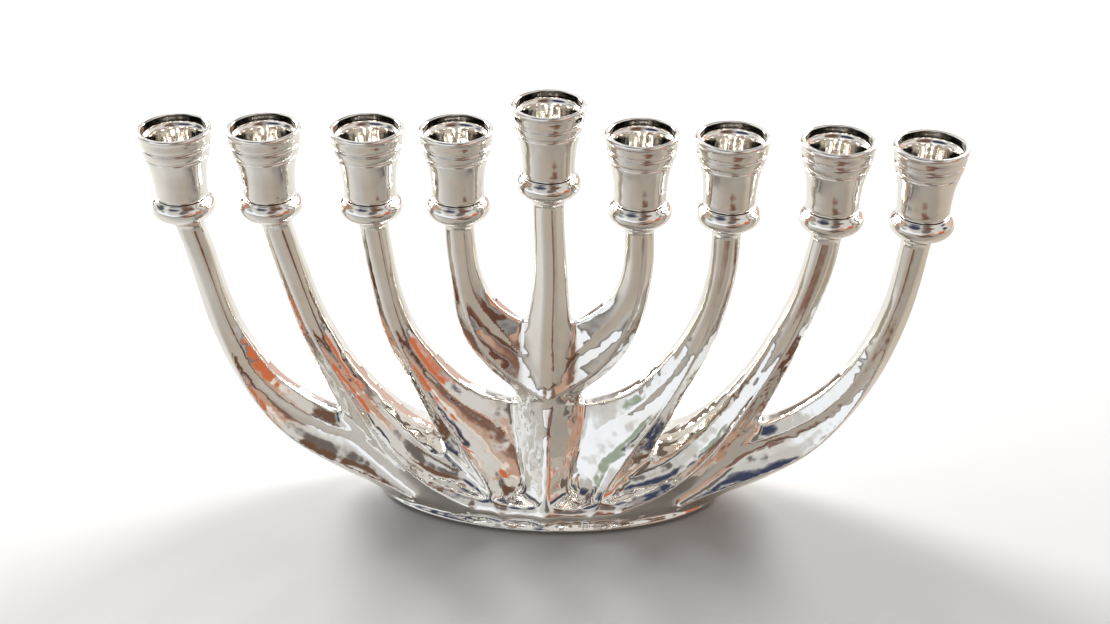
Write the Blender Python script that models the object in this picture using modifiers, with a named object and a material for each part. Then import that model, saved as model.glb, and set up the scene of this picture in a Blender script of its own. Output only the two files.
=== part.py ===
"""Nine-branched menorah: one cast metal body carrying nine turned candle cups.

Lengths are in metres. The origin is the centre of the footprint on the table,
+Z is up, the row of cups runs along X and the front faces -Y.
Every cup stands on a collar ring, and one screw through the cup floor and the
ring holds both down on the tip of its branch. A steel plate and a felt pad
close the hollow underside.
"""

import math

import bmesh
import bpy
from mathutils import Vector

MM = 0.001

# Layout: each pair of branches, from the inner pair to the outer pair
CUP_REACH = (33.0 * MM, 65.0 * MM, 102.0 * MM, 134.5 * MM)
MOUTH_HEIGHT = (155.0 * MM, 154.6 * MM, 153.9 * MM, 152.8 * MM)
SERVANT_MOUTH_HEIGHT = 165.2 * MM

# Turned parts, as (radius, depth below the cup's mouth)
CUP_LIP = ((12.6, 0.0), (13.5, 0.9), (13.4, 2.2))
CUP_FLARE = ((12.8, 5.6), (11.7, 10.6), (10.5, 16.0), (9.6, 21.5), (9.6, 26.9))
CUP_SOCKET = ((2.6, 26.9), (2.6, 23.5), (8.6, 23.5), (10.6, 4.4), (11.9, 3.5), (12.1, 0.5))
RING_OUTSIDE = ((9.9, 27.2), (11.4, 29.0), (11.5, 31.0), (10.4, 33.8), (7.4, 35.6), (6.2, 35.8))
RING_BORE = ((2.6, 35.8), (2.6, 27.2))
SCREW_PROFILE = ((0.0, 20.9), (3.4, 20.9), (4.2, 21.7), (4.2, 23.2), (2.2, 23.2), (2.2, 45.0), (0.0, 45.0))
TIP_DEPTH = 36.1
TURNED_SEGMENTS = 18
SCREW_SEGMENTS = 10
SHARP_ANGLE = 40.0
WELD_DISTANCE = 0.00001

# Machining of the casting, in millimetres
FACE_CUT_RADIUS = 12.0
FACE_CUT_HEIGHT = 20.0
FACE_CUT_SIDES = 16
TAPPED_HOLE_RADIUS = 2.6
TAPPED_HOLE_DEPTH = 10.5
TAP_OVERRUN = 8.0
HOLE_SIDES = 12
FOOT_TRIM_HALF = (90.0, 50.0)
FOOT_TRIM_BOTTOM = -5.0
FOOT_BOTTOM = 0.8

# Base: half length along X and half depth along Y of each level, in millimetres, with its height
PLINTH_LEVELS = (
    (68.0, 33.2, 0.8),
    (69.0, 34.0, 1.6),
    (69.0, 34.0, 2.6),
    (69.4, 31.2, 3.8),
    (71.5, 30.6, 6.5),
    (73.6, 28.8, 10.5),
    (74.0, 26.0, 14.0),
    (68.0, 20.0, 17.0),
    (50.0, 11.0, 18.5),
)
RECESS_HALF = (62.6, 27.4)
RECESS_CUT_BOTTOM = -2.0
RECESS_TOP = 5.0
CORE_HALF = (40.0, 14.0)
CORE_CUT_BOTTOM = 3.0
CORE_TOP = 13.0
FELT_HALF = (61.8, 26.6)
FELT_THICKNESS = 2.0
PLATE_HALF = (61.8, 26.6)
PLATE_BOTTOM = 2.3
PLATE_THICKNESS = 2.4
BASE_SCREW_SPOTS = ((-50.0, 0.0), (50.0, 0.0), (0.0, -20.0), (0.0, 20.0))
BASE_SCREW_PROFILE = ((0.0, 2.35), (3.0, 2.35), (1.5, 3.9), (1.5, 9.5), (0.0, 9.5))
PLATE_HOLE_PROFILE = ((0.0, 2.0), (3.7, 2.0), (3.4, 2.35), (1.8, 4.0), (1.8, 5.0), (0.0, 5.0))
BASE_HOLE_RADIUS = 1.9
BASE_HOLE_CUT_BOTTOM = 4.0
BASE_HOLE_TOP = 10.2
BASE_HOLE_SIDES = 10

# Branch stations, tip to root, in millimetres:
# (x, z, half width in the plane of the branches, half depth along Y)
INNER_BRANCH = (
    (33.0, 122.0, 5.6, 5.6),
    (33.0, 108.0, 5.3, 5.3),
    (31.6, 93.0, 5.4, 5.8),
    (28.3, 78.0, 6.6, 7.5),
    (20.5, 65.0, 8.0, 9.5),
    (7.0, 54.0, 9.0, 11.5),
)
SECOND_BRANCH = (
    (64.8, 122.0, 5.5, 5.5),
    (63.9, 104.0, 5.1, 5.2),
    (60.9, 84.0, 5.5, 5.8),
    (55.5, 68.0, 6.5, 7.5),
    (46.3, 51.5, 8.3, 11.0),
    (33.0, 34.0, 9.0, 17.0),
    (19.0, 14.0, 8.0, 25.0),
)
THIRD_BRANCH = (
    (101.6, 122.0, 5.6, 5.6),
    (99.2, 105.0, 5.3, 5.4),
    (94.2, 86.0, 5.7, 6.2),
    (87.6, 68.0, 6.3, 7.6),
    (78.3, 49.0, 7.9, 10.5),
    (62.0, 30.0, 9.5, 16.0),
    (40.0, 13.0, 8.0, 23.0),
)
OUTER_BRANCH = (
    (134.2, 122.0, 5.9, 5.8),
    (131.9, 103.0, 5.3, 5.4),
    (127.8, 84.0, 5.6, 6.0),
    (121.3, 64.0, 6.5, 7.2),
    (111.0, 44.8, 8.8, 9.0),
    (93.5, 28.0, 11.2, 12.5),
    (72.0, 15.5, 8.5, 16.0),
    (50.0, 11.0, 5.5, 15.0),
)
BRANCHES = (INNER_BRANCH, SECOND_BRANCH, THIRD_BRANCH, OUTER_BRANCH)
STEM = (
    (0.0, 131.0, 5.9, 5.9),
    (0.0, 112.0, 5.6, 5.6),
    (0.0, 92.0, 6.6, 7.0),
    (0.0, 66.0, 9.0, 9.0),
    (0.0, 48.0, 12.0, 12.5),
    (0.0, 30.0, 13.0, 19.0),
    (0.0, 12.0, 13.0, 25.0),
)

# Webs that fill the forks between neighbouring branches, fork to root, in millimetres:
# (inner x, inner z, outer x, outer z, half depth along Y)
WEBS = (
    ((3.0, 80.0, 27.0, 80.0, 3.5), (2.0, 66.0, 20.0, 66.0, 6.5), (1.0, 52.0, 10.0, 54.0, 9.0)),
    ((8.0, 41.5, 32.0, 41.5, 4.5), (6.0, 28.0, 26.0, 28.0, 9.0), (5.0, 12.0, 18.0, 12.0, 16.0)),
    ((36.0, 30.5, 60.0, 32.0, 5.0), (28.0, 22.0, 54.0, 22.0, 10.0), (20.0, 12.0, 40.0, 12.0, 15.0)),
    ((77.0, 41.0, 94.0, 34.0, 5.0), (66.0, 30.0, 86.0, 26.0, 8.5), (50.0, 14.0, 74.0, 14.0, 11.0)),
)
STATION_SPACING = 5.0 * MM
SECTION_SIDES = 12
SECTION_SQUARENESS = 2.7

# Casting skin
CAST_VOXEL = 1.2 * MM
CAST_SMOOTHING = 8
CAST_DETAIL = 0.028
SMOOTHING_STRENGTH = 0.5
PLINTH_SIDES = 48

# Finishes: base colour, roughness, metallic
CAST_SILVER = ((0.78, 0.77, 0.74), 0.12, 1.0)
CUP_SILVER = ((0.80, 0.78, 0.74), 0.14, 1.0)
COLLAR_SILVER = ((0.80, 0.78, 0.75), 0.12, 1.0)
STEEL = ((0.50, 0.50, 0.52), 0.35, 1.0)
FELT = ((0.05, 0.05, 0.055), 0.95, 0.0)


def clear_scene():
    for obj in list(bpy.data.objects):
        bpy.data.objects.remove(obj, do_unlink=True)


def make_collection(name, hidden=False):
    collection = bpy.data.collections.new(name)
    collection.hide_render = hidden
    bpy.context.scene.collection.children.link(collection)
    return collection


def make_material(name, colour, roughness, metallic):
    material = bpy.data.materials.new(name)
    material.use_nodes = True
    shader = material.node_tree.nodes["Principled BSDF"]
    shader.inputs["Base Color"].default_value = (*colour, 1.0)
    shader.inputs["Roughness"].default_value = roughness
    shader.inputs["Metallic"].default_value = metallic
    return material


def add_object(name, mesh, collection, material=None):
    obj = bpy.data.objects.new(name, mesh)
    collection.objects.link(obj)
    if material:
        mesh.materials.append(material)
    return obj


def turned_mesh(name, profile, segments):
    """A profile of (radius, drop) in millimetres, spun about Z; it runs down the outer side."""
    mesh = bpy.data.meshes.new(name)
    corners = [(radius * MM, 0.0, -drop * MM) for radius, drop in profile]
    edges = [(i, i + 1) for i in range(len(corners) - 1)]
    if profile[0][0] > 0:
        edges.append((len(corners) - 1, 0))
    mesh.from_pydata(corners, edges, [])
    spun = bpy.data.objects.new(name, mesh)
    bpy.context.scene.collection.objects.link(spun)
    screw = spun.modifiers.new("Screw", "SCREW")
    screw.steps = segments
    screw.render_steps = segments
    screw.use_merge_vertices = True
    screw.merge_threshold = WELD_DISTANCE
    solid = evaluated_copy(spun, name)
    bpy.data.objects.remove(spun, do_unlink=True)
    face_outward(solid)
    solid.shade_smooth()
    solid.set_sharp_from_angle(angle=math.radians(SHARP_ANGLE))
    return solid


def evaluated_copy(obj, name):
    bpy.context.view_layer.update()
    graph = bpy.context.evaluated_depsgraph_get()
    mesh = bpy.data.meshes.new_from_object(obj.evaluated_get(graph))
    mesh.name = name
    return mesh


def face_outward(mesh):
    work = bmesh.new()
    work.from_mesh(mesh)
    bmesh.ops.remove_doubles(work, verts=work.verts, dist=WELD_DISTANCE)
    bmesh.ops.recalc_face_normals(work, faces=work.faces)
    work.to_mesh(mesh)
    work.free()


def loft_mesh(name, sections):
    """Skins a run of closed sections that all have the same number of points, and caps both ends."""
    work = bmesh.new()
    rows = [[work.verts.new(point) for point in section] for section in sections]
    count = len(rows[0])
    for low, high in zip(rows, rows[1:]):
        for i in range(count):
            j = (i + 1) % count
            work.faces.new((low[i], low[j], high[j], high[i]))
    work.faces.new(rows[0])
    work.faces.new(rows[-1])
    bmesh.ops.recalc_face_normals(work, faces=work.faces)
    mesh = bpy.data.meshes.new(name)
    work.to_mesh(mesh)
    work.free()
    return mesh


def ellipse(half_x, half_y, z, sides=PLINTH_SIDES):
    angles = [2 * math.pi * i / sides for i in range(sides)]
    return [Vector((half_x * MM * math.cos(a), half_y * MM * math.sin(a), z * MM)) for a in angles]


def elliptic_slab(name, half, bottom, top, collection, material=None):
    mesh = loft_mesh(name, [ellipse(*half, bottom), ellipse(*half, top)])
    return add_object(name, mesh, collection, material)


def smooth_run(stations):
    """Catmull-Rom interpolation of the stations, about one step every STATION_SPACING."""
    points = [Vector(station) * MM for station in stations]
    ends = [points[0] * 2 - points[1]] + points + [points[-1] * 2 - points[-2]]
    run = []
    for before, start, stop, after in zip(ends, ends[1:], ends[2:], ends[3:]):
        steps = max(1, round((stop - start).length / STATION_SPACING))
        for i in range(steps):
            t = i / steps
            bend = (before * 2 - start * 5 + stop * 4 - after) * t * t
            twist = (start * 3 - before - stop * 3 + after) * t * t * t
            run.append((start * 2 + (stop - before) * t + bend + twist) * 0.5)
    run.append(points[-1])
    return run


def branch_section(centre, along, side):
    """A soft rounded-rectangle section across a branch that lies in the XZ plane."""
    across = Vector((along.z * side, 0.0, -along.x)).normalized()
    power = 2.0 / SECTION_SQUARENESS
    corners = []
    for i in range(SECTION_SIDES):
        angle = 2 * math.pi * (i + 0.5) / SECTION_SIDES
        flat = math.copysign(abs(math.cos(angle)) ** power, math.cos(angle))
        deep = math.copysign(abs(math.sin(angle)) ** power, math.sin(angle))
        middle = Vector((centre[0] * side, 0.0, centre[1]))
        corners.append(middle + across * flat * centre[2] + Vector((0.0, deep * centre[3], 0.0)))
    return corners


def branch_mesh(name, stations, side):
    run = smooth_run(stations)
    sections = []
    for i, centre in enumerate(run):
        ahead = run[min(i + 1, len(run) - 1)]
        behind = run[max(i - 1, 0)]
        along = Vector((ahead[0] - behind[0], 0.0, ahead[1] - behind[1]))
        sections.append(branch_section(centre, along, side))
    return loft_mesh(name, sections)


def web_mesh(name, stations, side):
    sections = []
    for inner_x, inner_z, outer_x, outer_z, depth in stations:
        inner = Vector((inner_x * side, 0.0, inner_z)) * MM
        outer = Vector((outer_x * side, 0.0, outer_z)) * MM
        front = Vector((0.0, -depth * MM, 0.0))
        sections.append([inner + front, outer + front, outer - front, inner - front])
    return loft_mesh(name, sections)


def cast_blank(collection):
    """Branches, stem and plinth fused into one skin, before machining."""
    meshes = [loft_mesh("plinth", [ellipse(*level) for level in PLINTH_LEVELS])]
    meshes.append(branch_mesh("stem", STEM, 1))
    for side in (-1, 1):
        meshes += [branch_mesh("branch", stations, side) for stations in BRANCHES]
        meshes += [web_mesh("web", stations, side) for stations in WEBS]
    work = bmesh.new()
    for mesh in meshes:
        work.from_mesh(mesh)
        bpy.data.meshes.remove(mesh)
    joined = bpy.data.meshes.new("blank")
    work.to_mesh(joined)
    work.free()
    blank = add_object("blank", joined, collection)
    remesh = blank.modifiers.new("Fuse", "REMESH")
    remesh.mode = "VOXEL"
    remesh.voxel_size = CAST_VOXEL
    smooth = blank.modifiers.new("Soften", "SMOOTH")
    smooth.factor = SMOOTHING_STRENGTH
    smooth.iterations = CAST_SMOOTHING
    thin = blank.modifiers.new("Thin", "DECIMATE")
    thin.ratio = CAST_DETAIL
    mesh = evaluated_copy(blank, "body_casting")
    bpy.data.objects.remove(blank, do_unlink=True)
    keep_largest_body(mesh)
    mesh.shade_smooth()
    return mesh


def keep_largest_body(mesh):
    """Removes the specks that fusing leaves inside the skin."""
    work = bmesh.new()
    work.from_mesh(mesh)
    waiting = set(work.verts)
    bodies = []
    while waiting:
        front = [waiting.pop()]
        body = set(front)
        while front:
            vertex = front.pop()
            near = {edge.other_vert(vertex) for edge in vertex.link_edges} - body
            body |= near
            waiting -= near
            front += near
        bodies.append(body)
    bodies.sort(key=len)
    specks = [vertex for body in bodies[:-1] for vertex in body]
    bmesh.ops.delete(work, geom=specks, context="VERTS")
    work.to_mesh(mesh)
    work.free()


def add_cut(obj, cutter):
    cutter.hide_render = True
    cutter.display_type = "WIRE"
    cut = obj.modifiers.new(cutter.name, "BOOLEAN")
    cut.operation = "DIFFERENCE"
    cut.object = cutter


def cylinder_cutter(name, radius, bottom, top, place, cutters, sides=HOLE_SIDES):
    mesh = loft_mesh(name, [ellipse(radius, radius, bottom, sides), ellipse(radius, radius, top, sides)])
    cutter = add_object(name, mesh, cutters)
    cutter.location = (place[0] * MM, place[1] * MM, 0.0)
    return cutter


def cup_places():
    """(name, x, mouth height) of the nine cups, left to right."""
    places = []
    for number in (4, 3, 2, 1):
        places.append((f"left_{number}", -CUP_REACH[number - 1], MOUTH_HEIGHT[number - 1]))
    places.append(("centre", 0.0, SERVANT_MOUTH_HEIGHT))
    for number in (1, 2, 3, 4):
        places.append((f"right_{number}", CUP_REACH[number - 1], MOUTH_HEIGHT[number - 1]))
    return places


def build_body(parts, cutters, material):
    body = add_object("body_casting", cast_blank(parts), parts, material)
    for name, x, mouth in cup_places():
        tip = mouth / MM - TIP_DEPTH
        face_top = tip + FACE_CUT_HEIGHT
        tap_bottom = tip - TAPPED_HOLE_DEPTH
        tap_top = tip + TAP_OVERRUN
        place = (x / MM, 0.0)
        face = cylinder_cutter("face_" + name, FACE_CUT_RADIUS, tip, face_top, place, cutters, FACE_CUT_SIDES)
        tap = cylinder_cutter("tap_" + name, TAPPED_HOLE_RADIUS, tap_bottom, tap_top, place, cutters)
        add_cut(body, face)
        add_cut(body, tap)
    add_cut(body, elliptic_slab("foot_trim", FOOT_TRIM_HALF, FOOT_TRIM_BOTTOM, FOOT_BOTTOM, cutters))
    add_cut(body, elliptic_slab("plate_recess", RECESS_HALF, RECESS_CUT_BOTTOM, RECESS_TOP, cutters))
    add_cut(body, elliptic_slab("core_hollow", CORE_HALF, CORE_CUT_BOTTOM, CORE_TOP, cutters))
    for i, spot in enumerate(BASE_SCREW_SPOTS):
        name = f"base_hole_{i + 1}"
        bottom, top = BASE_HOLE_CUT_BOTTOM, BASE_HOLE_TOP
        hole = cylinder_cutter(name, BASE_HOLE_RADIUS, bottom, top, spot, cutters, BASE_HOLE_SIDES)
        add_cut(body, hole)


def build_cups(parts, cup_metal, ring_metal, screw_metal):
    cup = turned_mesh("candle_cup", CUP_LIP + CUP_FLARE + CUP_SOCKET, TURNED_SEGMENTS)
    ring = turned_mesh("collar_ring", RING_OUTSIDE + RING_BORE, TURNED_SEGMENTS)
    screw = turned_mesh("cup_screw", SCREW_PROFILE, SCREW_SEGMENTS)
    cup.materials.append(cup_metal)
    ring.materials.append(ring_metal)
    screw.materials.append(screw_metal)
    for name, x, mouth in cup_places():
        for kind, mesh in (("candle_cup_", cup), ("collar_ring_", ring), ("cup_screw_", screw)):
            piece = add_object(kind + name, mesh, parts)
            piece.location = (x, 0.0, mouth)


def build_underside(parts, cutters, plate_metal, felt, screw_metal):
    plate_top = PLATE_BOTTOM + PLATE_THICKNESS
    plate = elliptic_slab("base_plate", PLATE_HALF, PLATE_BOTTOM, plate_top, parts, plate_metal)
    elliptic_slab("felt_pad", FELT_HALF, 0.0, FELT_THICKNESS, parts, felt)
    hole = turned_mesh("plate_hole", [(r, -z) for r, z in reversed(PLATE_HOLE_PROFILE)], HOLE_SIDES)
    screw = turned_mesh("base_screw", [(r, -z) for r, z in reversed(BASE_SCREW_PROFILE)], SCREW_SEGMENTS)
    screw.materials.append(screw_metal)
    for i, (x, y) in enumerate(BASE_SCREW_SPOTS):
        cutter = add_object(f"plate_hole_{i + 1}", hole, cutters)
        cutter.location = (x * MM, y * MM, 0.0)
        add_cut(plate, cutter)
        piece = add_object(f"base_screw_{i + 1}", screw, parts)
        piece.location = (x * MM, y * MM, 0.0)


def main():
    clear_scene()
    parts = make_collection("menorah")
    cutters = make_collection("cutters", hidden=True)
    silver = make_material("silver_casting", *CAST_SILVER)
    cup_silver = make_material("silver_cup", *CUP_SILVER)
    ring_silver = make_material("silver_collar", *COLLAR_SILVER)
    steel = make_material("steel", *STEEL)
    felt = make_material("felt", *FELT)
    build_body(parts, cutters, silver)
    build_cups(parts, cup_silver, ring_silver, steel)
    build_underside(parts, cutters, steel, felt, steel)


main()
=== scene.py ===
import math

import bpy
import numpy as np
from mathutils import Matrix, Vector


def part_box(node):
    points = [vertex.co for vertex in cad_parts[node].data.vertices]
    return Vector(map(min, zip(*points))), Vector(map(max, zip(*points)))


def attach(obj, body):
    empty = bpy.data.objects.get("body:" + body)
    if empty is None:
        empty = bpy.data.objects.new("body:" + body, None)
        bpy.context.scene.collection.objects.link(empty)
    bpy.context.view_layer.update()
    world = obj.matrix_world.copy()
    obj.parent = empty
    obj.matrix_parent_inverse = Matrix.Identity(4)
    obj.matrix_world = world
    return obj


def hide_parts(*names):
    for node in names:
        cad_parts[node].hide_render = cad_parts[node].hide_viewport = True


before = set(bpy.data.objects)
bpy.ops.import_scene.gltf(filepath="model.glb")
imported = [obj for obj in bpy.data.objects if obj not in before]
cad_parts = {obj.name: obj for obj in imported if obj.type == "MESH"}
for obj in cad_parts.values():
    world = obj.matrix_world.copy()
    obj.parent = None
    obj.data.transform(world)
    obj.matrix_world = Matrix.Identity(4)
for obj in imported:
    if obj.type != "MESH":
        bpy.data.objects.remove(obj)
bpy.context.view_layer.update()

MM = 0.001
SIDES = ("left_4", "left_3", "left_2", "left_1", "centre", "right_1", "right_2", "right_3", "right_4")


# ---------------------------------------------------------------- layout read from the frame

def cup_axis(name):
    """(x, mouth height) of a cup in millimetres."""
    low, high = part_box("candle_cup_" + name)
    return (low.x + high.x) / 2 / MM, high.z / MM


CUPS = {name: cup_axis(name) for name in SIDES}
TIP_DEPTH = 36.1
TIPS = [(x, mouth - TIP_DEPTH) for x, mouth in CUPS.values()]

# ---------------------------------------------------------------- cast body: sizes in millimetres

# Stations of each branch, tip to root: x, z, then the corners of the section there as pairs of
# (distance from the centre line, depth), from the outer flat side over the front ridge to the inner flat side
INNER_BRANCH = (
    (33.0, 121.0, -5.2, 2.3, -2.3, 5.2, 2.3, 5.2, 5.2, 2.3),
    (32.8, 106.0, -5.5, 2.3, -2.0, 5.2, 2.3, 5.2, 5.4, 2.3),
    (31.4, 92.0, -5.6, 2.4, -1.8, 5.6, 2.6, 5.3, 6.3, 2.3),
    (28.2, 79.0, -6.8, 2.8, -1.2, 7.2, 5.2, 4.9, 10.4, 2.4),
    (21.5, 66.5, -8.0, 3.5, -0.8, 9.2, 7.4, 4.8, 14.9, 2.6),
    (11.0, 56.0, -7.6, 5.0, 0.5, 11.2, 7.0, 5.6, 15.0, 3.0),
    (0.0, 47.0, -7.0, 6.0, 1.0, 12.0, 9.0, 7.0, 14.0, 3.0),
)
SECOND_BRANCH = (
    (64.8, 121.0, -5.2, 2.3, -2.3, 5.2, 2.3, 5.2, 5.2, 2.3),
    (63.9, 104.0, -5.1, 2.3, -1.6, 5.2, 2.6, 5.2, 5.2, 2.3),
    (60.9, 84.0, -5.0, 2.6, -0.9, 5.8, 2.9, 5.6, 5.4, 2.3),
    (55.6, 68.0, -6.2, 3.0, -0.8, 7.4, 2.9, 6.0, 6.0, 2.3),
    (46.5, 51.5, -8.0, 4.0, -1.5, 10.5, 3.8, 7.2, 7.6, 2.4),
    (34.2, 36.0, -12.0, 8.0, -3.0, 16.0, 6.5, 8.0, 11.3, 2.6),
    (26.2, 26.0, -13.5, 12.0, -3.0, 20.0, 10.0, 9.0, 19.0, 2.8),
    (16.8, 13.0, -13.0, 18.0, -3.0, 26.0, 9.0, 13.0, 20.0, 3.5),
    (13.5, 5.0, -12.5, 20.0, -3.0, 28.5, 9.0, 15.0, 20.0, 4.0),
)
THIRD_BRANCH = (
    (101.6, 121.0, -5.2, 2.3, -2.3, 5.2, 2.3, 5.2, 5.2, 2.3),
    (99.2, 105.0, -5.1, 2.3, -1.5, 5.2, 3.2, 5.2, 5.8, 2.3),
    (94.2, 86.0, -5.4, 2.6, -1.0, 6.1, 3.2, 5.6, 5.6, 2.3),
    (87.9, 68.0, -6.1, 3.0, -0.4, 7.4, 3.4, 6.0, 6.1, 2.3),
    (78.6, 49.0, -7.8, 4.2, 0.8, 10.4, 4.2, 7.0, 6.8, 2.4),
    (66.5, 31.5, -11.0, 7.0, 0.0, 15.0, 5.5, 8.5, 8.0, 2.6),
    (57.0, 21.0, -12.0, 11.0, 0.5, 19.5, 6.5, 11.5, 9.0, 3.0),
    (45.0, 13.5, -12.0, 16.0, 0.0, 23.5, 7.0, 15.0, 9.0, 4.0),
    (30.0, 8.0, -12.0, 20.0, 0.0, 27.0, 7.0, 18.0, 9.0, 5.0),
)
OUTER_BRANCH = (
    (134.2, 119.0, -5.0, 2.3, -2.3, 5.2, 2.3, 5.2, 5.2, 2.3),
    (131.9, 103.0, -4.6, 2.3, -1.7, 5.2, 2.8, 5.2, 5.6, 2.3),
    (127.8, 84.0, -5.4, 2.5, -1.6, 5.8, 2.6, 5.6, 5.0, 2.3),
    (121.3, 64.0, -6.4, 3.0, -2.4, 7.2, 2.3, 5.8, 5.4, 2.3),
    (111.3, 45.3, -7.6, 4.0, -4.0, 9.3, 2.6, 6.2, 6.6, 2.4),
    (95.0, 29.0, -10.0, 6.0, -5.3, 12.8, 5.5, 7.0, 9.0, 2.6),
    (77.0, 19.0, -9.5, 10.0, -3.0, 17.0, 8.0, 9.0, 11.0, 3.0),
    (52.0, 9.0, -8.0, 14.0, -2.0, 22.0, 8.0, 12.0, 12.0, 4.0),
)
STEM = (
    (0.0, 132.0, -5.7, 2.3, -1.9, 5.6, 1.9, 5.6, 5.7, 2.3),
    (0.0, 112.0, -5.7, 2.3, -1.9, 5.5, 1.9, 5.5, 5.7, 2.3),
    (0.0, 94.0, -6.4, 2.5, -1.9, 6.4, 1.9, 6.4, 6.4, 2.5),
    (0.0, 76.0, -8.2, 3.0, -2.0, 8.2, 2.0, 8.2, 8.2, 3.0),
    (0.0, 60.0, -10.4, 4.0, -2.4, 10.4, 2.4, 10.4, 10.4, 4.0),
    (0.0, 48.0, -12.0, 5.0, -2.6, 12.6, 2.6, 12.6, 12.0, 5.0),
    (0.0, 36.0, -12.0, 7.0, -1.3, 16.5, 1.3, 16.5, 12.0, 7.0),
    (0.0, 24.0, -10.5, 12.0, -0.9, 21.5, 0.9, 21.5, 10.5, 12.0),
    (0.0, 12.0, -8.0, 20.0, -0.8, 28.0, 0.8, 28.0, 8.0, 20.0),
    (0.0, 4.0, -7.0, 24.0, -0.8, 31.0, 0.8, 31.0, 7.0, 24.0),
)
EDGE_ROUNDING = 0.9
SCOOP = 0.55
SCOOP_FULL_AT = 3.0

# Each branch with the blend radius of the fork above it: (branch, radius low down, up to height, radius high up,
# from height)
BRANCHES = (
    (INNER_BRANCH, 3.2, 58.0, 4.0, 80.0),
    (SECOND_BRANCH, 3.0, 22.0, 5.0, 42.0),
    (THIRD_BRANCH, 3.0, 10.0, 3.0, 40.0),
    (OUTER_BRANCH, 3.5, 14.0, 6.5, 38.0),
)
ROOT_ROUNDING = 5.0

# The arms lean a little to the right half way up, as hand-finished castings do
LEAN = 0.7
LEAN_MIDDLE = 97.0
LEAN_REACH = 27.0
OUTER_LEAN = 0.9
OUTER_LEAN_MIDDLE = 74.0
OUTER_LEAN_REACH = 45.0
OUTER_LEAN_FROM, OUTER_LEAN_TO = 100.0, 114.0

# Plinth outline: height, half length along X, half depth along Y
PLINTH = (
    (-2.0, 68.2, 33.2),
    (0.8, 68.6, 33.6),
    (1.6, 69.0, 34.0),
    (2.7, 69.0, 33.9),
    (3.4, 69.2, 32.2),
    (4.2, 69.8, 31.4),
    (6.5, 71.6, 31.0),
    (9.5, 73.4, 29.4),
    (13.0, 74.6, 26.8),
    (17.0, 75.0, 23.4),
    (22.0, 74.0, 19.0),
    (30.0, 70.0, 14.0),
)
RIM_MIDDLE = 9.0
RIM_RISE = 9.0
RIM_RISE_AT = 61.0
RIM_ROUNDING = 1.6
FOOT_BOTTOM = 0.8
RECESS = (62.6, 27.4, 5.0)
NECK_RADIUS = 6.1
NECK_HEIGHT = 0.9
TAPPED_RADIUS = 2.6
TAPPED_DEPTH = 10.5

# Groove along the front and back of the foot
GROOVE_HEIGHT = 3.6
GROOVE_RADIUS = 1.35
GROOVE_FROM, GROOVE_TO = 38.0, 22.0



def natural_spline(knots, values):
    """Second derivatives of the natural cubic splines through the columns of values."""
    count = len(knots)
    step = np.diff(knots)
    matrix = np.eye(count)
    right = np.zeros_like(values)
    for i in range(1, count - 1):
        matrix[i, i - 1] = step[i - 1]
        matrix[i, i] = 2 * (step[i - 1] + step[i])
        matrix[i, i + 1] = step[i]
        right[i] = 6 * ((values[i + 1] - values[i]) / step[i] - (values[i] - values[i - 1]) / step[i - 1])
    return np.linalg.solve(matrix, right)


class Spline:
    def __init__(self, knots, values):
        self.knots = np.asarray(knots, float)
        self.values = np.asarray(values, float)
        self.bend = natural_spline(self.knots, self.values)

    def __call__(self, s, columns, order=0):
        s = np.clip(s, self.knots[0], self.knots[-1])
        i = np.clip(np.searchsorted(self.knots, s) - 1, 0, len(self.knots) - 2)
        step = (self.knots[i + 1] - self.knots[i])[..., None]
        b = (s - self.knots[i])[..., None] / step
        a = 1 - b
        low, high = self.values[i][..., columns], self.values[i + 1][..., columns]
        m0, m1 = self.bend[i][..., columns], self.bend[i + 1][..., columns]
        if order == 0:
            return a * low + b * high + ((a**3 - a) * m0 + (b**3 - b) * m1) * step**2 / 6
        if order == 1:
            return (high - low) / step + ((3 * b**2 - 1) * m1 - (3 * a**2 - 1) * m0) * step / 6
        return a * m0 + b * m1


def smooth_max(a, b, radius):
    blend = np.maximum(radius - np.abs(a - b), 0) / radius
    return np.maximum(a, b) + blend**2 * radius / 4


def smooth_min(a, b, radius):
    return -smooth_max(-a, -b, radius)


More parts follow.
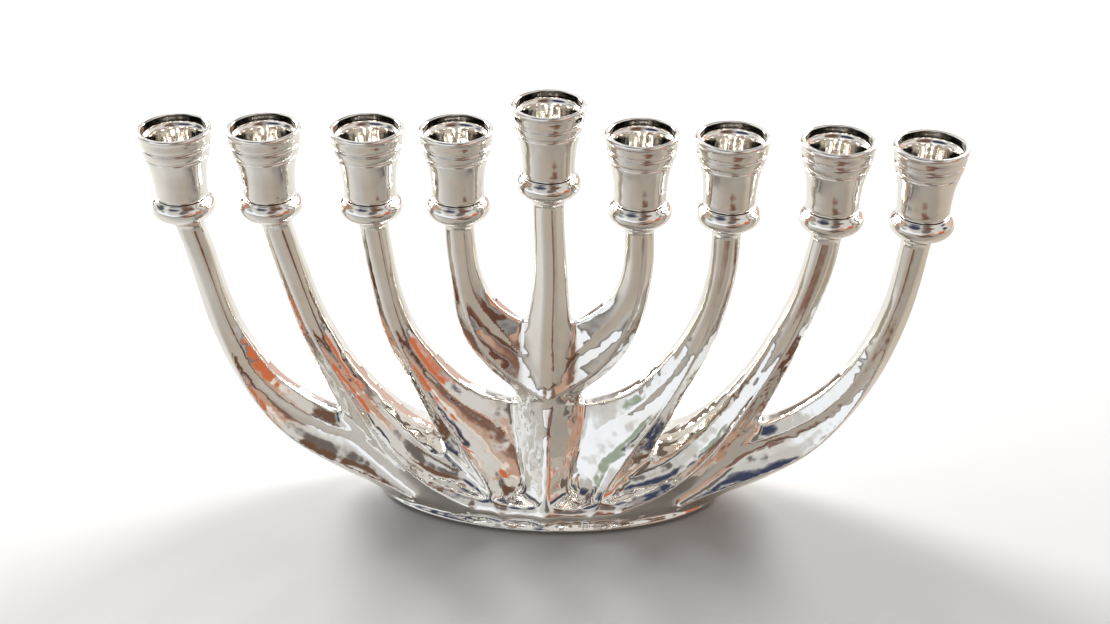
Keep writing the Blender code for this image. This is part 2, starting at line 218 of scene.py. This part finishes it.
class Branch:
    """A swept limb in the XZ plane whose section turns from an even octagon into a ridge with a scoop above it."""

    def __init__(self, stations):
        stations = np.array(stations)
        run = np.hypot(*np.diff(stations[:, :2], axis=0).T)
        self.spline = Spline(np.concatenate([[0], np.cumsum(run)]), stations)
        self.samples = np.linspace(0, self.spline.knots[-1], 60)
        self.places = self.spline(self.samples, slice(0, 2))

    def nearest(self, x, z):
        far = (x[..., None] - self.places[:, 0]) ** 2 + (z[..., None] - self.places[:, 1]) ** 2
        s = self.samples[np.argmin(far, axis=-1)]
        for _ in range(4):
            spot = self.spline(s, slice(0, 2))
            slope = self.spline(s, slice(0, 2), 1)
            curve = self.spline(s, slice(0, 2), 2)
            gap = spot - np.stack([x, z], -1)
            push = (gap * slope).sum(-1)
            stiff = (slope**2).sum(-1) + (gap * curve).sum(-1)
            s = s - np.clip(push / np.maximum(stiff, 0.2), -3, 3)
            s = np.clip(s, 0, self.spline.knots[-1])
        return s

    def distance(self, x, y, z):
        s = self.nearest(x, z)
        spot = self.spline(s, slice(0, 2))
        slope = self.spline(s, slice(0, 2), 1)
        slope /= np.hypot(slope[..., 0], slope[..., 1])[..., None]
        inward = (x - spot[..., 0]) * slope[..., 1] - (z - spot[..., 1]) * slope[..., 0]
        over = np.abs((x - spot[..., 0]) * slope[..., 0] + (z - spot[..., 1]) * slope[..., 1])
        corners = np.moveaxis(self.spline(s, slice(2, 10)), -1, 0)
        depth = np.abs(y)
        field = np.maximum(corners[0] - inward, inward - corners[6])
        for k in (0, 4, 2):
            run, drop = corners[k + 2] - corners[k], corners[k + 3] - corners[k + 1]
            size = np.hypot(run, drop)
            face = ((depth - corners[k + 1]) * run - (inward - corners[k]) * drop) / size
            if k == 2:
                part = ((inward - corners[k]) * run + (depth - corners[k + 1]) * drop) / size**2
                part = np.clip(part, 0, 1)
                scoop = SCOOP * np.clip(-drop / SCOOP_FULL_AT, 0, 1)
                face = face + scoop * size * part * (1 - part)
            field = smooth_max(field, face, EDGE_ROUNDING)
        return np.where(over > 0.01, np.hypot(np.maximum(field, 0), over) + np.minimum(field, 0), field)


LIMBS = [(Branch(stations), *fork) for stations, *fork in BRANCHES]
TRUNK = Branch(STEM)
PLINTH_SPLINE = Spline([row[0] for row in PLINTH], np.array(PLINTH)[:, 1:])


def plinth_distance(x, y, z):
    reach = PLINTH_SPLINE(z, slice(0, 2))
    half_x, half_y = reach[..., 0], reach[..., 1]
    level = np.sqrt((x / half_x) ** 2 + (y / half_y) ** 2) + 1e-9
    steep = np.sqrt((x / half_x**2) ** 2 + (y / half_y**2) ** 2) / level + 1e-9
    side = (level - 1) / steep
    rim = RIM_MIDDLE + RIM_RISE * (x / RIM_RISE_AT) ** 2
    solid = smooth_max(side, (z - rim) * 0.9, RIM_ROUNDING)
    fade = np.clip((GROOVE_FROM - np.abs(x)) / (GROOVE_FROM - GROOVE_TO), 0, 1)
    groove = GROOVE_RADIUS * fade**2 * (3 - 2 * fade) - np.hypot(side, z - GROOVE_HEIGHT)
    return np.where(fade > 0, smooth_max(solid, groove, 0.5), solid)


def hump(t):
    return np.clip(1 - t**2, 0, 1) ** 2


def body_distance(x, y, z):
    outer = np.clip((np.abs(x) - OUTER_LEAN_FROM) / (OUTER_LEAN_TO - OUTER_LEAN_FROM), 0, 1)
    lean = LEAN * hump((z - LEAN_MIDDLE) / LEAN_REACH)
    lean = lean + OUTER_LEAN * outer**2 * (3 - 2 * outer) * hump((z - OUTER_LEAN_MIDDLE) / OUTER_LEAN_REACH)
    x, y, upright = np.abs(x - lean), np.abs(y), np.abs(x)
    field = TRUNK.distance(x, y, z)
    for limb, low_radius, low, high_radius, high in LIMBS:
        radius = np.interp(z, (low, high), (low_radius, high_radius))
        field = smooth_min(field, limb.distance(x, y, z), radius)
    x = upright
    field = smooth_min(field, plinth_distance(x, y, z), ROOT_ROUNDING)
    for tip_x, tip_z in TIPS:
        if tip_x < -1:
            continue
        spread = np.hypot(x - tip_x, y)
        neck = smooth_max(spread - NECK_RADIUS, np.abs(z - tip_z) - NECK_HEIGHT, 0.6)
        field = smooth_min(field, neck, 2.2)
        near = np.abs(x - tip_x) < 12
        field = np.where(near, smooth_max(field, z - tip_z, 0.4), field)
        field = np.maximum(field, -np.maximum(spread - TAPPED_RADIUS, tip_z - TAPPED_DEPTH - z))
    field = smooth_max(field, FOOT_BOTTOM - z, 0.5)
    half_x, half_y, top = RECESS
    level = np.sqrt((x / half_x) ** 2 + (y / half_y) ** 2)
    recess = np.maximum((level - 1) * half_y, z - top)
    return np.maximum(field, -recess)


def surface_net(axes, field):
    """One vertex in each grid cell that the surface crosses, and one quad round each crossed grid edge."""
    inside = field < 0
    shape = [n - 1 for n in field.shape]
    total = np.zeros(shape + [3])
    count = np.zeros(shape)
    grids = np.meshgrid(*axes, indexing="ij")
    corners = [(i, j, k) for i in (0, 1) for j in (0, 1) for k in (0, 1)]

    def cut(offset):
        return tuple(slice(o, o + n) for o, n in zip(offset, shape))

    for a in corners:
        for axis in range(3):
            if a[axis]:
                continue
            b = tuple(1 if i == axis else v for i, v in enumerate(a))
            fa, fb = field[cut(a)], field[cut(b)]
            crossed = inside[cut(a)] != inside[cut(b)]
            t = np.where(crossed, fa / np.where(crossed, fa - fb, 1), 0)
            for i in range(3):
                place = grids[i][cut(a)] + t * (grids[i][cut(b)] - grids[i][cut(a)])
                total[..., i] += np.where(crossed, place, 0)
            count += crossed
    active = count > 0
    number = np.full(shape, -1)
    number[active] = np.arange(active.sum())
    points = total[active] / count[active][:, None]
    quads = []
    for axis in range(3):
        first = [slice(None)] * 3
        second = [slice(None)] * 3
        first[axis], second[axis] = slice(0, -1), slice(1, None)
        low, high = inside[tuple(first)], inside[tuple(second)]
        u, v = [i for i in range(3) if i != axis]
        inner = [slice(None)] * 3
        inner[u], inner[v] = slice(1, -1), slice(1, -1)
        spots = np.argwhere((low != high)[tuple(inner)])
        spots[:, u] += 1
        spots[:, v] += 1
        ring = []
        for du, dv in ((0, 0), (1, 0), (1, 1), (0, 1)):
            cell = spots.copy()
            cell[:, u] -= du
            cell[:, v] -= dv
            ring.append(number[tuple(cell.T)])
        quad = np.stack(ring, 1)
        turn = low[tuple(spots.T)] ^ (axis != 1)
        quad[turn] = quad[turn][:, ::-1]
        quads.append(quad)
    return points, np.concatenate(quads)


def field_and_slope(points, step=0.01):
    field = body_distance(*points.T)
    slopes = []
    for axis in range(3):
        shift = np.zeros(3)
        shift[axis] = step
        slopes.append((body_distance(*(points + shift).T) - field) / step)
    return field, np.stack(slopes, 1)


def settle(points, rounds=2):
    """Moves the points onto the surface and gives its normals there."""
    for _ in range(rounds):
        field, slope = field_and_slope(points)
        size = np.maximum((slope**2).sum(1), 0.05)
        points = points - np.clip(field / size, -0.4, 0.4)[:, None] * slope
    slope = field_and_slope(points)[1]
    return points, slope / np.linalg.norm(slope, axis=1)[:, None]


def graded(start, stop, fine, coarse, turn):
    """Grid levels that are fine up to turn and coarse above it."""
    low = np.arange(start, turn, fine)
    high = np.arange(low[-1] + coarse, stop + coarse, coarse)
    return np.concatenate([low, high])


def make_body():
    cell = 0.9
    axes = (
        np.arange(-146.0, 146.0 + cell, cell),
        np.arange(-37.0, 37.0 + cell, cell),
        graded(-0.2, 132.5, cell / 2, cell, 13.0),
    )
    x = axes[0][:, None, None]
    y = axes[1][None, :, None]
    z = axes[2][None, None, :]
    x, z = np.broadcast_arrays(x, z)
    points, quads = surface_net(axes, body_distance(x, y, z))
    points, normals = settle(points)
    mesh = bpy.data.meshes.new("cast_body")
    mesh.from_pydata((points * MM).tolist(), [], quads.tolist())
    mesh.shade_smooth()
    mesh.normals_split_custom_set_from_vertices(normals.tolist())
    return link("cast_body", mesh)


# ---------------------------------------------------------------- turned pieces: (radius, depth below the mouth)

def link(name, mesh):
    obj = bpy.data.objects.new(name, mesh)
    bpy.context.scene.collection.objects.link(obj)
    return obj


def turned(name, profile, segments=96):
    """Spins a closed profile of (radius, drop) in millimetres about Z."""
    radius, drop = np.array(profile, float).T * MM
    angle = np.linspace(0, 2 * math.pi, segments, endpoint=False)
    ring = np.stack([np.outer(np.cos(angle), radius), np.outer(np.sin(angle), radius)], -1)
    points = np.concatenate([ring, np.broadcast_to(-drop, ring.shape[:2])[..., None]], -1)
    rows = len(profile)
    faces = []
    for i in range(segments):
        for j in range(rows):
            a, b = i * rows + j, i * rows + (j + 1) % rows
            c, d = ((i + 1) % segments) * rows + (j + 1) % rows, ((i + 1) % segments) * rows + j
            faces.append((a, b, c, d))
    mesh = bpy.data.meshes.new(name)
    mesh.from_pydata(points.reshape(-1, 3).tolist(), [], faces)
    mesh.validate()
    mesh.shade_smooth()
    mesh.set_sharp_from_angle(angle=math.radians(50))
    return mesh


def arc(centre, radius, start, stop, steps):
    """Points of an arc in (radius, drop); angles in degrees, 0 outward and 90 downward."""
    angles = np.radians(np.linspace(start, stop, steps))
    return [(centre[0] + radius * math.cos(a), centre[1] + radius * math.sin(a)) for a in angles]


def bulge(start, stop, height, steps):
    """Points from start to stop that bow sideways by height, positive to the right of the way down."""
    (r0, d0), (r1, d1) = start, stop
    length = math.hypot(r1 - r0, d1 - d0)
    across = ((d1 - d0) / length, -(r1 - r0) / length)
    points = []
    for t in np.linspace(0, 1, steps):
        bow = 4 * height * t * (1 - t)
        points.append((r0 + (r1 - r0) * t + across[0] * bow, d0 + (d1 - d0) * t + across[1] * bow))
    return points


def groove(radius, drop, deep=0.45, wide=0.9):
    return [(radius + 0.04, drop - wide / 2), (radius - deep, drop - wide / 6),
            (radius - deep, drop + wide / 6), (radius - 0.04, drop + wide / 2)]


def cup_profile():
    lip = arc((12.45, 1.0), 1.0, -140, 40, 11)
    upper = bulge((13.0, 2.2), (12.85, 4.9), 0.08, 5)
    band = [(12.6, 5.2), (12.05, 5.5), (12.0, 6.1), (12.45, 6.4)] + bulge((12.5, 6.5), (12.0, 9.2), 0.10, 5)
    cut = [(11.75, 9.5), (11.2, 9.8), (11.15, 10.4), (11.5, 10.7)]
    flare = bulge((11.5, 10.8), (9.7, 21.0), -0.35, 14)
    waist = bulge((9.6, 21.8), (9.55, 25.6), -0.05, 5) + [(9.3, 26.2), (9.0, 26.9)]
    floor = [(2.6, 26.9), (2.6, 23.5), (8.3, 23.5), (8.7, 23.0)]
    wall = bulge((8.8, 22.5), (10.55, 4.9), 0.0, 12)
    step = [(10.65, 4.4), (10.85, 4.05), (11.5, 3.7), (11.75, 3.4), (11.85, 3.0)]
    mouth = bulge((11.85, 2.8), (11.75, 1.4), -0.05, 3)
    return lip + upper + band + cut + flare + waist + floor + wall + step + mouth


def ring_profile():
    crown = [(9.2, 27.2), (9.5, 27.25), (9.8, 27.5)]
    belly = bulge((10.0, 27.8), (10.9, 33.2), 1.25, 18)
    under = [(10.6, 33.6)] + bulge((10.3, 33.9), (6.9, 35.5), 0.35, 8) + [(6.3, 35.8)]
    return crown + belly + under + [(2.6, 35.8), (2.6, 27.2)]


def screw_profile():
    head = [(0.3, 20.9)] + [(3.1, 20.9), (3.8, 21.15), (4.15, 21.6), (4.2, 22.0), (4.2, 23.2)]
    shank = [(2.2, 23.2)]
    for i in range(26):
        shank += [(2.2, 24.0 + 0.8 * i), (1.9, 24.3 + 0.8 * i), (1.9, 24.4 + 0.8 * i)]
    return head + shank + [(2.2, 44.9), (1.9, 45.0), (0.3, 45.0)]


def make_cups(materials):
    kinds = (
        ("candle_cup_", "cup_", turned("cup", cup_profile()), "turned_silver"),
        ("collar_ring_", "collar_", turned("collar", ring_profile()), "collar_silver"),
    )
    for name, (x, mouth) in CUPS.items():
        for node, piece_name, mesh, slot in kinds:
            if not mesh.materials:
                mesh.materials.append(materials[slot])
            piece = link(piece_name + name, mesh)
            piece.location = (x * MM, 0, mouth * MM)
            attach(piece, "root")
            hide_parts(node + name)


# ---------------------------------------------------------------- materials

def new_material(name, colour, metallic, roughness):
    material = bpy.data.materials.new(name)
    material.use_nodes = True
    shader = material.node_tree.nodes["Principled BSDF"]
    shader.inputs["Base Color"].default_value = (*colour, 1)
    shader.inputs["Metallic"].default_value = metallic
    shader.inputs["Roughness"].default_value = roughness
    return material, material.node_tree, shader


def noise(tree, coordinates, scale, detail=3.0, stretch=None):
    node = tree.nodes.new("ShaderNodeTexNoise")
    node.inputs["Scale"].default_value = scale
    node.inputs["Detail"].default_value = detail
    source = coordinates
    if stretch:
        mapping = tree.nodes.new("ShaderNodeMapping")
        mapping.inputs["Scale"].default_value = stretch
        tree.links.new(coordinates, mapping.inputs["Vector"])
        source = mapping.outputs["Vector"]
    tree.links.new(source, node.inputs["Vector"])
    return node.outputs["Fac"]


def remap(tree, value, low, high, to_low, to_high):
    node = tree.nodes.new("ShaderNodeMapRange")
    node.inputs["From Min"].default_value = low
    node.inputs["From Max"].default_value = high
    node.inputs["To Min"].default_value = to_low
    node.inputs["To Max"].default_value = to_high
    tree.links.new(value, node.inputs["Value"])
    return node.outputs["Result"]


def bump(tree, shader, height, strength, distance, below=None):
    node = tree.nodes.new("ShaderNodeBump")
    node.inputs["Strength"].default_value = strength
    node.inputs["Distance"].default_value = distance
    tree.links.new(height, node.inputs["Height"])
    if below:
        tree.links.new(below, node.inputs["Normal"])
    tree.links.new(node.outputs["Normal"], shader.inputs["Normal"])
    return node.outputs["Normal"]


def silver(name, colour, base_roughness, ripple, ripple_scale, smooth_above=None):
    """Polished silver plate: ripples left by polishing, hairline scratches and a little tarnish."""
    material, tree, shader = new_material(name, colour, 1.0, base_roughness)
    place = tree.nodes.new("ShaderNodeTexCoord").outputs["Object"]
    tarnish = noise(tree, place, 90, 4)
    mix = tree.nodes.new("ShaderNodeMix")
    mix.data_type = "RGBA"
    mix.inputs["A"].default_value = (*colour, 1)
    mix.inputs["B"].default_value = (colour[0] * 0.93, colour[1] * 0.90, colour[2] * 0.84, 1)
    tree.links.new(remap(tree, tarnish, 0.45, 0.75, 0, 0.8), mix.inputs["Factor"])
    tree.links.new(mix.outputs["Result"], shader.inputs["Base Color"])
    scratches = noise(tree, place, 900, 2, (1, 1, 0.12))
    rough = remap(tree, scratches, 0.35, 0.75, base_roughness * 0.7, base_roughness * 1.7)
    tree.links.new(rough, shader.inputs["Roughness"])
    height = noise(tree, place, ripple_scale, 1.5)
    if smooth_above:
        split = tree.nodes.new("ShaderNodeSeparateXYZ")
        tree.links.new(place, split.inputs["Vector"])
        fade = remap(tree, split.outputs["Z"], smooth_above * 0.55, smooth_above, 1.0, 0.12)
        scaled = tree.nodes.new("ShaderNodeMath")
        scaled.operation = "MULTIPLY"
        tree.links.new(height, scaled.inputs[0])
        tree.links.new(fade, scaled.inputs[1])
        height = scaled.outputs["Value"]
    waves = bump(tree, shader, height, 1.0, ripple)
    bump(tree, shader, scratches, 0.08, 0.00004, waves)
    return material


def make_materials():
    return {
        "cast_silver": silver("cast_silver", (0.90, 0.885, 0.855), 0.05, 0.0009, 110, 0.085),
        "turned_silver": silver("turned_silver", (0.90, 0.88, 0.845), 0.075, 0.0002, 160),
        "collar_silver": silver("collar_silver", (0.90, 0.885, 0.85), 0.055, 0.0003, 160),
    }


# ---------------------------------------------------------------- stage, light and camera

def glow(name, size, place, aim, colour, strength, power_shape="RECTANGLE"):
    light = bpy.data.lights.new(name, "AREA")
    light.shape = power_shape
    light.size, light.size_y = size
    light.color = colour
    light.energy = strength
    obj = bpy.data.objects.new(name, light)
    bpy.context.scene.collection.objects.link(obj)
    obj.location = place
    obj.rotation_euler = (Vector(aim) - Vector(place)).to_track_quat("-Z", "Y").to_euler()
    return obj


# The floor's painted reflection, seen only by glossy rays: beige and dark brown patches that the polish shows
# while the camera sees a plain pale floor. Centre x, y, radius and soft edge in metres, then colour
FLOOR_REFLECTION_BASE = (0.62, 0.61, 0.585)
FLOOR_REFLECTION_TONES = (
    (0.00, -0.26, 0.17, 0.08, (0.56, 0.50, 0.43)),
    (0.42, 0.00, 0.30, 0.12, (0.52, 0.46, 0.39)),
    (0.22, -0.52, 0.27, 0.05, (0.20, 0.09, 0.06)),
    (0.13, -0.25, 0.06, 0.03, (0.26, 0.13, 0.09)),
)
FLOOR_WOBBLE = 0.10
FLOOR_WOBBLE_SCALE = 6.0


def make_stage():
    mesh = bpy.data.meshes.new("floor")
    half = 4.0
    mesh.from_pydata([(-half, -half, 0), (half, -half, 0), (half, half, 0), (-half, half, 0)], [], [(0, 1, 2, 3)])
    floor = link("floor", mesh)
    material, tree, shader = new_material("floor", (0.80, 0.80, 0.80), 0.0, 0.8)
    shader.inputs["Specular IOR Level"].default_value = 0.1
    place = tree.nodes.new("ShaderNodeTexCoord").outputs["Object"]
    bent = wobbled(tree, place, FLOOR_WOBBLE_SCALE, FLOOR_WOBBLE)
    colour = None
    for x, y, radius, soft, shade in FLOOR_REFLECTION_TONES:
        near = vector_math(tree, "DISTANCE", bent, (x, y, 0.0)).outputs["Value"]
        colour = patch(tree, colour or FLOOR_REFLECTION_BASE, near, radius + soft, max(radius - soft, 0), shade)
    # Painted reflection: a tinted diffuse floor that only glossy rays see, mixed in below by Is Glossy Ray
    painted_reflection = tree.nodes.new("ShaderNodeBsdfDiffuse")
    tree.links.new(colour, painted_reflection.inputs["Color"])
    path = tree.nodes.new("ShaderNodeLightPath")
    mix = tree.nodes.new("ShaderNodeMixShader")
    tree.links.new(path.outputs["Is Glossy Ray"], mix.inputs["Fac"])
    tree.links.new(shader.outputs["BSDF"], mix.inputs[1])
    tree.links.new(painted_reflection.outputs["BSDF"], mix.inputs[2])
    tree.links.new(mix.outputs["Shader"], tree.nodes["Material Output"].inputs["Surface"])
    mesh.materials.append(material)


# What stands round the object, as seen in its polish: azimuth from the front towards +X, elevation, radius
# and soft edge in degrees, then colour
ROOM_BASE = (0.70, 0.68, 0.65)
ROOM = (
    (180, 12, 60, 24, (0.98, 0.98, 0.98)),
    (-50, 2, 40, 14, (0.98, 1.02, 1.08)),
    (-20, 48, 26, 10, (0.62, 0.61, 0.59)),
    (42, 2, 26, 8, (0.56, 0.36, 0.27)),
    (16, -2, 12, 6, (0.22, 0.12, 0.09)),
    (66, 10, 15, 5, (0.62, 0.17, 0.07)),
    (46, 22, 7, 4, (0.85, 0.80, 0.72)),
    (135, 12, 26, 9, (0.80, 0.56, 0.48)),
    (-142, 14, 18, 7, (0.26, 0.20, 0.16)),
    (14, 44, 15, 7, (0.16, 0.14, 0.13)),
    (-50, 68, 14, 7, (0.05, 0.06, 0.11)),
    (38, 66, 13, 7, (0.16, 0.09, 0.06)),
    (-95, 34, 11, 6, (0.10, 0.11, 0.13)),
    (88, 28, 10, 5, (0.06, 0.06, 0.09)),
    (-72, 30, 7, 5, (0.34, 0.40, 0.31)),
    (165, 50, 16, 7, (0.20, 0.16, 0.14)),
)
ROOM_WOBBLE = 0.22
ROOM_FILL = 0.36


def toward(azimuth, elevation):
    azimuth, elevation = math.radians(azimuth), math.radians(elevation)
    return (math.sin(azimuth) * math.cos(elevation), -math.cos(azimuth) * math.cos(elevation), math.sin(elevation))


def vector_math(tree, operation, first, second):
    node = tree.nodes.new("ShaderNodeVectorMath")
    node.operation = operation
    for socket, value in zip(node.inputs, (first, second)):
        if isinstance(value, tuple):
            socket.default_value = value
        else:
            tree.links.new(value, socket)
    return node


def wobbled(tree, place, scale, size):
    """The place shifted by a noise of up to about half of size."""
    cloud = tree.nodes.new("ShaderNodeTexNoise")
    cloud.inputs["Scale"].default_value = scale
    cloud.inputs["Detail"].default_value = 3.0
    tree.links.new(place, cloud.inputs["Vector"])
    centred = vector_math(tree, "SUBTRACT", cloud.outputs["Color"], (0.5, 0.5, 0.5)).outputs["Vector"]
    shift = vector_math(tree, "MULTIPLY", centred, (size * 2,) * 3).outputs["Vector"]
    return vector_math(tree, "ADD", place, shift).outputs["Vector"]


def patch(tree, below, value, edge, core, shade):
    """Lays the shade over what is below where the value passes from edge to core."""
    amount = remap(tree, value, edge, core, 0, 1)
    amount.node.interpolation_type = "SMOOTHSTEP"
    mix = tree.nodes.new("ShaderNodeMix")
    mix.data_type = "RGBA"
    tree.links.new(amount, mix.inputs["Factor"])
    if isinstance(below, tuple):
        mix.inputs["A"].default_value = (*below, 1)
    else:
        tree.links.new(below, mix.inputs["A"])
    mix.inputs["B"].default_value = (*shade, 1)
    return mix.outputs["Result"]


def make_room():
    world = bpy.data.worlds.new("studio")
    world.use_nodes = True
    tree = world.node_tree
    background = tree.nodes["Background"]
    direction = tree.nodes.new("ShaderNodeTexCoord").outputs["Generated"]
    bent = wobbled(tree, direction, 3.2, ROOM_WOBBLE)
    bent = vector_math(tree, "NORMALIZE", bent, (0.0, 0.0, 0.0)).outputs["Vector"]
    colour = None
    for azimuth, elevation, radius, soft, shade in ROOM:
        near = vector_math(tree, "DOT_PRODUCT", bent, toward(azimuth, elevation)).outputs["Value"]
        edge = math.cos(math.radians(radius + soft))
        core = math.cos(math.radians(max(radius - soft, 0)))
        colour = patch(tree, colour or ROOM_BASE, near, edge, core, shade)
    tree.links.new(colour, background.inputs["Color"])
    diffuse = tree.nodes.new("ShaderNodeLightPath").outputs["Is Diffuse Ray"]
    tree.links.new(remap(tree, diffuse, 0, 1, 1, ROOM_FILL), background.inputs["Strength"])
    bpy.context.scene.world = world


def make_lights():
    make_room()
    glow("back_left", (0.55, 0.55), (-0.95, 0.90, 0.58), (0, 0, 0.03), (1, 1, 1), 29)
    glow("back_right", (0.6, 0.6), (0.80, 1.05, 0.78), (0, 0, 0.03), (1, 1, 1), 20)
    bpy.context.scene.view_settings.view_transform = "Standard"


CAMERA_DISTANCE = 0.604
CAMERA_AZIMUTH = 2.84
CAMERA_ELEVATION = 31.07
CAMERA_ROLL = 0.09
CAMERA_TARGET = (0.0023, 0.0, 0.0800)
FOCAL_IN_WIDTHS = 1600 / 1110


def make_camera():
    azimuth, elevation = math.radians(CAMERA_AZIMUTH), math.radians(CAMERA_ELEVATION)
    back = Vector((
        math.sin(azimuth) * math.cos(elevation),
        -math.cos(azimuth) * math.cos(elevation),
        math.sin(elevation),
    ))
    data = bpy.data.cameras.new("camera")
    data.sensor_width = 36
    data.lens = 36 * FOCAL_IN_WIDTHS
    camera = bpy.data.objects.new("camera", data)
    bpy.context.scene.collection.objects.link(camera)
    camera.location = Vector(CAMERA_TARGET) + back * CAMERA_DISTANCE
    turn = back.to_track_quat("Z", "Y").to_euler()
    camera.rotation_euler = turn
    camera.rotation_euler.rotate_axis("Z", math.radians(CAMERA_ROLL))
    bpy.context.scene.camera = camera


def main():
    make_camera()
    materials = make_materials()
    body = make_body()
    body.data.materials.append(materials["cast_silver"])
    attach(body, "root")
    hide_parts("body_casting")
    make_cups(materials)
    make_stage()
    make_lights()
    bpy.context.view_layer.update()


main()
